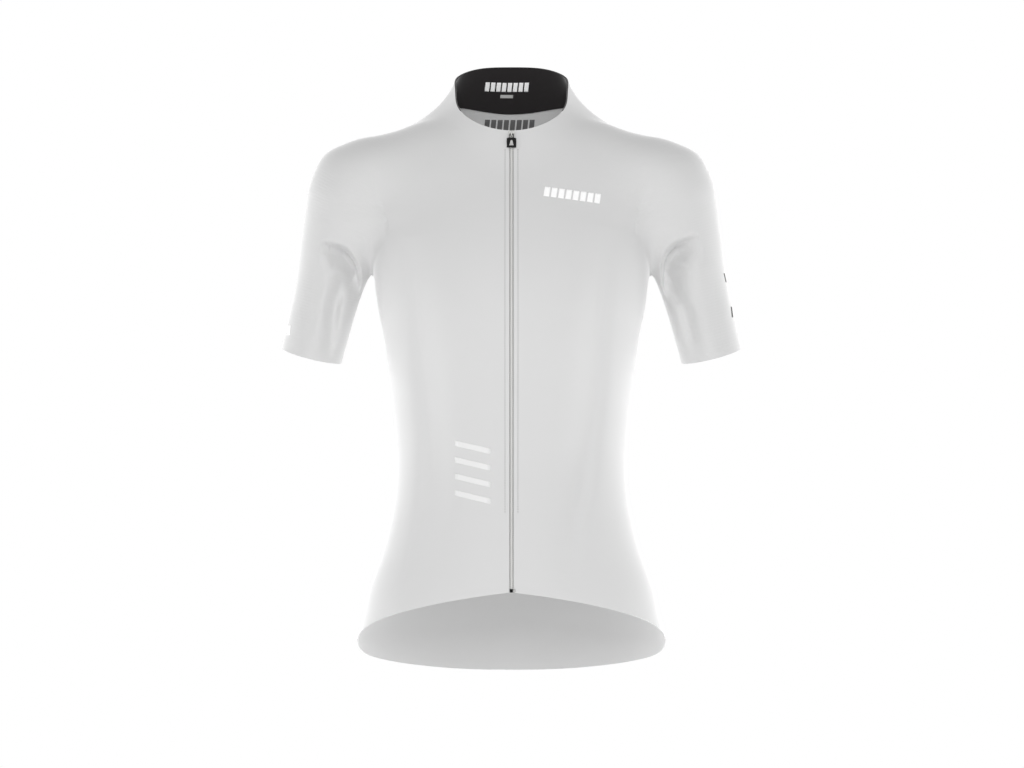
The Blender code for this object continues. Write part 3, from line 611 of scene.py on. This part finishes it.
back_raglan_rows = (  # place on the wearer's left
    (0.1520, 0.020, -0.163),
    (0.1500, 0.033, -0.152),
    (0.1460, 0.045, -0.137),
    (0.1390, 0.056, -0.120),
    (0.1280, 0.065, -0.100),
    (0.1130, 0.071, -0.076),
    (0.0950, 0.072, -0.050),
    (0.0750, 0.067, -0.022),
)
back_raglan_top = math.radians(51.0)
back_columns = 26


def back_grid():
    """The back: columns run from the wearer's left side round to the right."""
    seam = raglan_seam(back_raglan_rows, back_raglan_top)
    edge = side_edge(seam)
    other = edge * (-1, 1) + (math.pi, 0)
    grid = panel(edge, other, np.linspace(0, 1, back_columns + 1), seam * (-1, 1, 1))
    grid[side_rows:, 0] = seam
    return evened(grid)


back_flat = seamed(finer(back_grid(), cells_split))
back = cloth("Back", cloth_mesh("Back", back_flat), shell_wall, shell_knit)
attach(back, "body")
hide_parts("back")


# The pockets: one long patch of the body knit on the lower back, open along its top edge, which
# elastic draws in. It stands a cloth's thickness off the back, and is sewn down further on.

pocket_hem_cells, pocket_cells, pocket_side_cells = 1, 8, 4
pocket_lift = solid_wall + layer_gap
pocket_rows = slice(pocket_hem_cells * cells_split,
                    (pocket_hem_cells + pocket_cells) * cells_split + 1)
pocket_columns = slice(pocket_side_cells * cells_split,
                       (back_columns - pocket_side_cells) * cells_split + 1)
pocket_grid = back_flat[pocket_rows, pocket_columns]
pocket_mesh = cloth_mesh("Back_pockets", pocket_grid, -pocket_lift)
pockets = cloth("Back_pockets", pocket_mesh, shell_wall, shell_knit)
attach(pockets, "body")
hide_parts("back_pockets")


# The sleeves: one piece each of a knit with fine ribs across the arm. It runs on to the collar
# between two raglan seams, and below the armpit it closes into a tube. The cuff is raw cut.

sleeve_tube_rows, sleeve_cells_round, smoothing_rounds = 8, 28, 12
cuff_along, cuff_lean = bend_length + 0.1725, 0.10
sleeve_core = np.array(((0.196, 0.006, -0.150), (0.050, 0.000, -0.060)))  # armpit end, neck end


def sleeve_ring(along, cuff_share):
    """One ring of the sleeve tube, from the underarm round the front and back to it."""
    set_back = read_table(sleeve_sections, np.array(along))[2]
    middle = bend_end + along_arm * (along - bend_length)
    start = np.array((middle[0], set_back, middle[1]))
    turn = np.linspace(0, 2 * math.pi, sleeve_cells_round + 1)[:, None]
    inner = np.array((-outside_arm[0], 0, -outside_arm[1]))
    lean = cuff_lean * cuff_share
    front = np.array((along_arm[0] * lean, -1, along_arm[1] * lean))
    return cast(start[None], np.cos(turn) * inner + np.sin(turn) * front)


def sleeve_grid():
    """Wearer's left sleeve: rows run from the cuff up to the armpit, then to the neck.

    The yoke above the armpit is cast out from the sleeve's core, then smoothed and evened.
    """
    pit = snap(armpit, 6)
    armpit_along = float(along_sleeve(pit[0], pit[2])[0])
    shares = np.linspace(1, 0, sleeve_tube_rows + 1)
    tube = np.stack([sleeve_ring(armpit_along + (cuff_along - armpit_along) * s, s) for s in shares])
    tube[-1, 0] = tube[-1, -1] = pit
    neck_angle = np.linspace(front_raglan_top, back_raglan_top, sleeve_cells_round + 1)
    neck = on_form(neck_angle, collar_seam_height(neck_angle))
    yoke = fill_patch(tube[-1], neck, raglan_seam(front_raglan_rows, front_raglan_top),
                      raglan_seam(back_raglan_rows, back_raglan_top),
                      np.linspace(0, 1, sleeve_cells_round + 1))
    up = np.linspace(0, 1, raglan_rows + 1)[:, None]
    core = sleeve_core[0] + (sleeve_core[1] - sleeve_core[0]) * up
    inside = np.s_[1:-1, 1:-1]
    start = np.broadcast_to(core[:, None], yoke.shape)[inside]
    yoke[inside] = cast(start, yoke[inside] - start)
    for _ in range(smoothing_rounds):
        around = yoke[:-2, 1:-1] + yoke[2:, 1:-1] + yoke[1:-1, :-2] + yoke[1:-1, 2:]
        yoke[inside] = snap(around / 4)
    for row in yoke[1:-1]:
        row[1:-1] = snap(even_steps(row, sleeve_cells_round)[1:-1])
    return np.vstack([tube, yoke[1:]])


def ribbed_finish(name, colour, pitch):
    """The body knit's yarn in rows of ribs, which run round the arm."""
    finish = knit_finish(name, colour)
    tree = finish.node_tree
    shader = tree.nodes["Principled BSDF"]
    cut = add_node(tree, "ShaderNodeUVMap", uv_map="Cut")
    along = add_node(tree, "ShaderNodeSeparateXYZ", {"Vector": cut.outputs["UV"]}).outputs["Y"]
    turns = add_node(tree, "ShaderNodeMath", {0: along, 1: math.tau / pitch}, operation="MULTIPLY")
    wave = add_node(tree, "ShaderNodeMath", {0: turns.outputs["Value"]}, operation="SINE")
    ribs = add_node(tree, "ShaderNodeBump", {
        "Height": wave.outputs["Value"], "Strength": 0.08, "Distance": 0.0004,
        "Normal": shader.inputs["Normal"].links[0].from_socket})
    tree.links.new(ribs.outputs["Normal"], shader.inputs["Normal"])
    return finish


rib_knit = ribbed_finish("Ribbed polyester sleeve knit, light grey", "#D2D2D2", 0.0032)

sleeve_flat = seamed(finer(sleeve_grid(), cells_split))
tube_rows = sleeve_tube_rows * cells_split
for name, grid in (("Sleeve_left", sleeve_flat), ("Sleeve_right", mirrored(sleeve_flat))):
    sleeve = cloth(name, cloth_mesh(name, grid, tube_rows=tube_rows), shell_wall, rib_knit)
    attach(sleeve, "body")
    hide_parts(name.lower())


# The collar: a stand of the body knit from zip to zip, sewn to the panels along its lower edge.
# A black mesh lining lies inside it and is bound over its rim.

collar_rows, collar_columns, collar_split = 4, 52, 5
rim_middle, rim_tilt, rim_side_rise, rim_side_tilt = 0.026, 0.041, 0.0105, 0.005


def rim_height(angle):
    """The height of the collar's upper edge."""
    lift = (rim_side_rise + rim_side_tilt * np.sin(angle)) * np.cos(angle) ** 2
    return rim_middle + rim_tilt * np.sin(angle) + lift


def collar_grid(lift=0.0):
    """The stand collar, from the zip round the back of the neck to the zip again.

    Its lower edge is lifted off the collar seam.
    """
    rows = np.linspace(0, 1, collar_rows + 1)[:, None]
    low, high = float(collar_seam_height(front_line)) + lift, float(rim_height(front_line))
    edge = front_edge_angle(low + (high - low) * rows[:, 0], zip_opening_half)[:, None]
    share = np.linspace(0, 1, collar_columns + 1)[None]
    angle = edge + (math.pi - 2 * edge) * share
    height = (1 - rows) * (collar_seam_height(angle) + lift) + rows * rim_height(angle)
    return on_form(angle, height)


collar_flat = seamed(finer(collar_grid(), collar_split), (0,))
collar = cloth("Collar", cloth_mesh("Collar", collar_flat), shell_wall, shell_knit)
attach(collar, "body")
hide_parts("collar")

lining_lift, lining_wall = 0.0042, 0.0006
# the mesh's yarn is brushed, so it keeps a faint grey bloom
black_mesh = knit_finish("Black polyester mesh lining", "#221F20", sheen=0.8)
lining_grid = finer(collar_grid(lining_lift), collar_split)[:, collar_split:-collar_split]
lining_mesh = cloth_mesh("Collar_lining", lining_grid, shell_wall + layer_gap)
lining = cloth("Collar_lining", lining_mesh, lining_wall, black_mesh)
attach(lining, "body")
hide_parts("collar_lining")


# The binding: a narrow fold of the lining's mesh, sewn over the rim. It is widest at the back of
# the neck and dies out short of the zip.

binding_back, binding_front, binding_wall, binding_end = 0.0012, 0.0002, 0.0003, -0.55
binding_rows = (  # out from the rim, share of the width down, up
    (-0.0014, 1.0, 0.0),
    (-0.0013, 0.0, 0.0001),
    (-0.0009, 0.0, 0.0002),
    (-0.0004, 0.0, 0.0002),
    (0.0001, 0.0, 0.0001),
    (0.0002, 1.0, 0.0),
)
rim_angle = np.arctan2(collar_flat[-1, :, 1], collar_flat[-1, :, 0])
rim_angle = rim_angle[np.sin(rim_angle) > binding_end]
rim_line = on_form(rim_angle, rim_height(rim_angle))
rim_out = outward(rim_line)
rim_out[:, 2] = 0
rim_out /= np.linalg.norm(rim_out, axis=-1, keepdims=True)
turned = binding_front + (binding_back - binding_front) * (0.5 + 0.5 * np.sin(rim_angle))
upwards = np.array((0.0, 0.0, 1.0))
fold = np.stack([rim_line + rim_out * out + upwards * (up - turned * down)[:, None]
                 for out, down, up in binding_rows])
binding_mesh = bpy.data.meshes.new("Rim_binding")
index = np.arange(fold[..., 0].size).reshape(fold.shape[:2])
binding_mesh.from_pydata(fold.reshape(-1, 3), [], cells(index)[:, ::-1].tolist())
binding_mesh.shade_smooth()
binding = cloth("Rim_binding", binding_mesh, binding_wall, black_mesh)
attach(binding, "body")


# The prints: plain marks of heat-set ink, under 0.1 mm thick, where a maker prints. Rows of blocks
# are on the chest, on the lining and inside the back, bars on the front and marks on the sleeves.

ink_wall, ink_lift, block_cells, block_start = 0.00008, 0.00004, 8, 0.006
chest_blocks = [(0.0358 + 0.00778 * k, -0.0765 - 0.00095 * k) for k in range(8)]
label_blocks = [(-0.0297 + 0.00645 * k, 0.0500) for k in range(8)]
inside_blocks = [(-0.0300 + 0.00725 * k, 0.0090) for k in range(8)]
front_bars = [(-0.0609, -0.3480 - 0.0177 * k) for k in range(4)]
prints = {  # upper left corners (x, z), width, height, fall and lean per metre, face, depth, colour
    "Chest_print": (chest_blocks, 0.0060, 0.0106, 0.122, 0.16, -1, 0.0, "#FFFFFF"),
    "Front_bars": (front_bars, 0.0390, 0.0062, 0.232, 0.0, -1, 0.0, "#E4E4E4"),
    "Label_print": (label_blocks, 0.0049, 0.0100, 0.02, 0.12, 1, 0.0020, "#FFFFFF"),
    "Label_bar": ([(-0.0128, 0.0366)], 0.0148, 0.0036, 0.0, 0.1, 1, 0.0020, "#B9B9B8"),
    "Inside_print": (inside_blocks, 0.0056, 0.0165, 0.0, 0.1, 1, 0.0009, "#5E5E5E"),
    "Sleeve_left_upper_mark": ([(0.2326, -0.1664)], 0.0014, 0.0098, 0.0, -0.26, -1, 0.0, "#2A2A2A"),
    "Sleeve_left_lower_mark": ([(0.2410, -0.2030)], 0.0018, 0.0118, 0.0, -0.08, -1, 0.0, "#303030"),
    "Sleeve_right_mark": ([(-0.2463, -0.2230)], 0.0040, 0.0112, 0.0, 0.06, -1, 0.0, "#FFFFFF"),
}


def print_mesh(name, places, width, height, fall, lean, face, depth):
    """Blocks of ink on the front (-1) or back (1), at a depth inside the form's skin."""
    steps = np.linspace(0, 1, block_cells + 1)
    u, v = np.meshgrid(steps, steps)
    index = np.arange(u.size).reshape(u.shape)
    points, faces = [], []
    for x, z in places:
        across = x + u * width - v * height * lean
        up = z - v * height - u * width * fall
        start = np.stack([across, np.full(u.shape, block_start), up], axis=-1)
        faces.extend((cells(index)[:, ::face] + u.size * len(points)).tolist())
        points.append(cast(start, np.broadcast_to(np.array((0.0, face, 0.0)), start.shape)))
    grid = np.stack(points)
    place = grid + crease_shift(grid) - outward(grid) * depth
    mesh = bpy.data.meshes.new(name)
    mesh.from_pydata(place.reshape(-1, 3), [], faces)
    mesh.shade_smooth()
    return mesh


for name, (places, width, height, fall, lean, face, depth, colour) in prints.items():
    # the ink lies smooth on the knit, a little glossier than the yarn
    ink = plain_finish(name + " heat-set ink", colour, {"Roughness": 0.6})
    lift = depth + ink_wall + ink_lift if face > 0 else -(ink_wall + ink_lift)
    blocks = print_mesh(name, places, width, height, fall, lean, face, lift)
    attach(cloth(name, blocks, ink_wall, ink), "body")


# The zip's tapes: one woven polyester strip on each side, stitched behind the front edges.
# Between the edges their inner sides show in the gaps of the teeth.

tape_half, tape_wall, tape_inner, tape_short = 0.0085, 0.0007, 0.00015, 0.0003


def front_strip(sides, heights):
    """Points of the form beside the front line, sides across by heights up."""
    angles = np.stack([front_edge_angle(heights, side) for side in sides], axis=1)
    return on_form(angles, heights[:, None])


# woven polyester is matt; its grey is darker than the knit as painted shade, for the shadow the tape
# lies in between the front edges
woven_tape_painted_shade = plain_finish("Woven polyester tape, grey, painted shade", "#B4B4B2", {"Roughness": 0.8})
tree = woven_tape_painted_shade.node_tree
cut = add_node(tree, "ShaderNodeUVMap", uv_map="Cut").outputs["UV"]
# picks 0.5 mm apart across the tape
picks = add_node(tree, "ShaderNodeTexWave", {"Vector": cut, "Scale": 320.0}, bands_direction="Y")
relief = add_node(tree, "ShaderNodeBump", {
    "Height": picks.outputs["Fac"], "Strength": 0.4, "Distance": 0.0002})
tree.links.new(relief.outputs["Normal"], tree.nodes["Principled BSDF"].inputs["Normal"])

hem_front, rim_front = float(hem_height(front_line)), float(rim_height(front_line))
tape_heights = np.linspace(hem_front + tape_short, rim_front - tape_short, 161)
tape_grid = front_strip(np.linspace(tape_inner, tape_half, 6), tape_heights)
for name, grid in (("Zip_tape_left", tape_grid), ("Zip_tape_right", mirrored(tape_grid))):
    tape = cloth(name, cloth_mesh(name, grid, shell_wall + 2 * layer_gap), tape_wall, woven_tape_painted_shade)
    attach(tape, "body")
    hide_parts(name.lower())


# The teeth and the stitches are small pieces repeated along a row. Each row is a string of
# points that hold the directions along the row and out from the cloth.

def row_of_pieces():
    """Geometry Nodes: stands one piece at each point, turned by its directions, and joins them."""
    tree = bpy.data.node_groups.new("Row of pieces", "GeometryNodeTree")
    tree.interface.new_socket("Geometry", in_out="INPUT", socket_type="NodeSocketGeometry")
    for name, kind in (("Piece", "NodeSocketObject"), ("Finish", "NodeSocketMaterial"),
                       ("Unevenness", "NodeSocketFloat")):
        tree.interface.new_socket(name, in_out="INPUT", socket_type=kind)
    tree.interface.new_socket("Geometry", in_out="OUTPUT", socket_type="NodeSocketGeometry")
    given = add_node(tree, "NodeGroupInput")
    along, out = (add_node(tree, "GeometryNodeInputNamedAttribute", {"Name": name},
                           data_type="FLOAT_VECTOR") for name in ("along", "out"))
    turn = add_node(tree, "FunctionNodeAxesToRotation", {
        "Primary Axis": out.outputs["Attribute"], "Secondary Axis": along.outputs["Attribute"]},
        primary_axis="Z", secondary_axis="X")
    less = add_node(tree, "ShaderNodeMath", {0: 1.0, 1: given.outputs["Unevenness"]},
                    operation="SUBTRACT")
    size = add_node(tree, "FunctionNodeRandomValue", {
        "Min": less.outputs["Value"], "Max": 1.0, "Seed": 7}, data_type="FLOAT")
    piece = add_node(tree, "GeometryNodeObjectInfo", {"Object": given.outputs["Piece"]})
    stood = add_node(tree, "GeometryNodeInstanceOnPoints", {
        "Points": given.outputs["Geometry"], "Instance": piece.outputs["Geometry"],
        "Rotation": turn.outputs["Rotation"], "Scale": size.outputs[1]})
    joined = add_node(tree, "GeometryNodeRealizeInstances", {"Geometry": stood.outputs["Instances"]})
    coated = add_node(tree, "GeometryNodeSetMaterial", {
        "Geometry": joined.outputs["Geometry"], "Material": given.outputs["Finish"]})
    add_node(tree, "NodeGroupOutput", {"Geometry": coated.outputs["Geometry"]})
    return tree


row_tree = row_of_pieces()


def lay_row(name, places, along, out, piece, finish, unevenness=0.0):
    """Runs the tree over the points of a row and keeps its result as a plain mesh."""
    points = bpy.data.meshes.new(name)
    points.from_pydata(places, [], [])
    for key, directions in (("along", along), ("out", out)):
        attribute = points.attributes.new(key, "FLOAT_VECTOR", "POINT")
        attribute.data.foreach_set("vector", np.asarray(directions, np.float32).reshape(-1))
    row = bpy.data.objects.new(name, points)
    bpy.context.scene.collection.objects.link(row)
    laid = row.modifiers.new("Row", "NODES")
    laid.node_group = row_tree
    settings = {"Piece": piece, "Finish": finish, "Unevenness": unevenness}
    for socket in row_tree.interface.items_tree:
        if socket.in_out == "INPUT" and socket.name in settings:
            laid[socket.identifier] = settings[socket.name]
    graph = bpy.context.evaluated_depsgraph_get()
    mesh = bpy.data.meshes.new_from_object(row.evaluated_get(graph))
    row.modifiers.remove(laid)
    row.data = mesh
    mesh.materials.clear()
    mesh.materials.append(finish)
    bpy.data.objects.remove(piece)
    return row


def outline_piece(name, outline, low, high, bevel):
    """A small solid from an outline (along, across), from low to high, with soft edges."""
    shape = bmesh.new()
    face = shape.faces.new([shape.verts.new((x, y, low)) for x, y in outline])
    raised = bmesh.ops.extrude_face_region(shape, geom=[face])["geom"]
    corners = [item for item in raised if isinstance(item, bmesh.types.BMVert)]
    bmesh.ops.translate(shape, verts=corners, vec=(0, 0, high - low))
    bmesh.ops.recalc_face_normals(shape, faces=shape.faces)
    bmesh.ops.bevel(shape, geom=shape.edges[:], offset=bevel, segments=1, affect="EDGES")
    mesh = bpy.data.meshes.new(name)
    shape.to_mesh(mesh)
    shape.free()
    mesh.shade_smooth()
    mesh.set_sharp_from_angle(angle=math.radians(50))
    piece = bpy.data.objects.new(name, mesh)
    bpy.context.scene.collection.objects.link(piece)
    return piece


# The teeth: moulded in pale grey, 2.2 mm apart on each tape. Each has a narrow root on the tape's
# edge and a head that fills the space between two heads of the other side.

tooth_pitch, slider_height, slider_clear, box_clear = 0.0022, -0.0199, 0.0044, 0.0042
# moulded acetal has a soft satin gloss, which catches the light on the teeth's heads
moulded = plain_finish("Moulded acetal, pale grey", "#D2D2D0", {"Roughness": 0.45, "IOR": 1.48})

tooth_heights = np.arange(hem_front + box_clear, slider_height - slider_clear, tooth_pitch / 2)
tooth_places = on_form(front_line, tooth_heights)
tooth_out = outward(tooth_places)
up_zip = np.gradient(tooth_places, axis=0)
tooth_outline = (  # along the zip, across it
    (-0.00030, -0.0020),
    (0.00030, -0.0020),
    (0.00030, -0.0013),
    (0.00053, -0.0010),
    (0.00053, 0.0009),
    (0.00034, 0.0012),
    (-0.00034, 0.0012),
    (-0.00053, 0.0009),
    (-0.00053, -0.0010),
    (-0.00030, -0.0013),
)
for name, side, first in (("Zip_teeth_right", 1, 0), ("Zip_teeth_left", -1, 1)):
    outline = [(x * side, y * side) for x, y in tooth_outline]
    tooth = outline_piece("Tooth", outline, low=-0.0010, high=0.0002, bevel=0.00010)
    row = lay_row(name, tooth_places[first::2], up_zip[first::2], tooth_out[first::2], tooth, moulded)
    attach(row, "body")
    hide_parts("zip_chain")


# The zip's topstitch: one line of thread down each front edge, which holds the tape. It ends
# 80 mm above the hem, where the edge is bonded.

stitch_aside, stitch_pitch, stitch_lift = 0.0069, 0.0028, 0.00005
stitch_top, stitch_bottom = -0.0335, -0.4285
# spun thread is matt, and darker than the knit, so that each stitch shows
thread = plain_finish("Spun polyester thread, grey", "#8C8C8A", {"Roughness": 0.7})


def stitch_piece(length, width):
    """One stitch: a short round thread that dips into the cloth at both ends."""
    shape = bmesh.new()
    bmesh.ops.create_uvsphere(shape, u_segments=8, v_segments=6, radius=0.5)
    bmesh.ops.rotate(shape, verts=shape.verts, matrix=Matrix.Rotation(math.pi / 2, 3, "Y"))
    bmesh.ops.scale(shape, verts=shape.verts, vec=(length, width, width * 0.8))
    mesh = bpy.data.meshes.new("Stitch")
    shape.to_mesh(mesh)
    shape.free()
    mesh.shade_smooth()
    piece = bpy.data.objects.new("Stitch", mesh)
    bpy.context.scene.collection.objects.link(piece)
    return piece


def stitch_line(name, line, pitch, length, width, lift=stitch_lift):
    """A row of stitches along a line of points on the form, lifted off the creased cloth."""
    walked = np.concatenate([[0], np.cumsum(np.linalg.norm(np.diff(line, axis=0), axis=1))])
    table = np.column_stack([walked, line])
    places = snap(read_table(table, np.arange(pitch, walked[-1] - pitch, pitch)).T)
    out = outward(places)
    places = places + crease_shift(places) + out * lift
    return lay_row(name, places, np.gradient(places, axis=0), out, stitch_piece(length, width),
                   thread, unevenness=0.12)


stitch_heights = np.linspace(stitch_top, stitch_bottom, 200)
for side, name in ((1, "left"), (-1, "right")):
    line = on_form(front_edge_angle(stitch_heights, stitch_aside * side), stitch_heights)
    row = stitch_line("Zip_topstitch_" + name, line, stitch_pitch, length=0.0016, width=0.00085)
    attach(row, "body")


# The pockets' seams: two upright rows of stitches divide the patch into three, and one row holds
# its side edges, its foot and the elastic that is folded into its top edge.

pocket_pitch, stitched_in, elastic_rows = 0.0032, 2, 7
across = pocket_grid.shape[1]
pocket_lines = {
    "Pocket_seam_left": pocket_grid[1:-1, across // 3],
    "Pocket_seam_right": pocket_grid[1:-1, across - across // 3],
    "Pocket_side_left": pocket_grid[1:-1, stitched_in],
    "Pocket_side_right": pocket_grid[1:-1, -1 - stitched_in],
    "Pocket_foot_stitch": pocket_grid[stitched_in, stitched_in:-stitched_in],
    "Pocket_top_stitch": pocket_grid[-elastic_rows, stitched_in:-stitched_in],
}
for name, line in pocket_lines.items():
    row = stitch_line(name, line, pocket_pitch, length=0.0022, width=0.0006,
                      lift=pocket_lift + stitch_lift)
    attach(row, "body")


# The slider, the end box and the stop are kept from the model: a nickel-plated slider at the top
# of the closed zip, and at the hem a black box with a plated stop beside it.

# tumbled and plated zinc is a grey metal with blurred reflections
plated = plain_finish("Satin nickel plate", "#9C9C9A", {"Metallic": 1.0, "Roughness": 0.45})
# a fine grain in the mould leaves the black acetal nearly matt
black_acetal = plain_finish("Black moulded acetal, satin", "#0B0B0C", {
    "Roughness": 0.6, "Specular IOR Level": 0.2, "IOR": 1.48})
for name, finish in (("zip_slider", plated), ("zip_end_stop", plated),
                     ("zip_box", black_acetal), ("pull_tab", black_acetal)):
    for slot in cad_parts[name].material_slots:
        slot.material = finish


# The inlay: a pale moulded plate that fills the window in the pull tab, level with the tab's face,
# and turns with it.

inlay_wall, hinge_lift = 0.0006, 0.0028
inlay_rows = ((-0.0065, 0.0008), (-0.0126, 0.0025))  # height from the hinge, half width
slider_place = on_form(front_line, np.array(slider_height))
hinge = slider_place + outward(slider_place) * hinge_lift
corners = [(side * half, hinge[1], hinge[2] + high) for high, half in inlay_rows for side in (-1, 1)]
inlay_mesh = bpy.data.meshes.new("Tab_inlay")
inlay_mesh.from_pydata(corners, [], [(0, 2, 3, 1)])
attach(cloth("Tab_inlay", inlay_mesh, inlay_wall, moulded), "pull_tab")
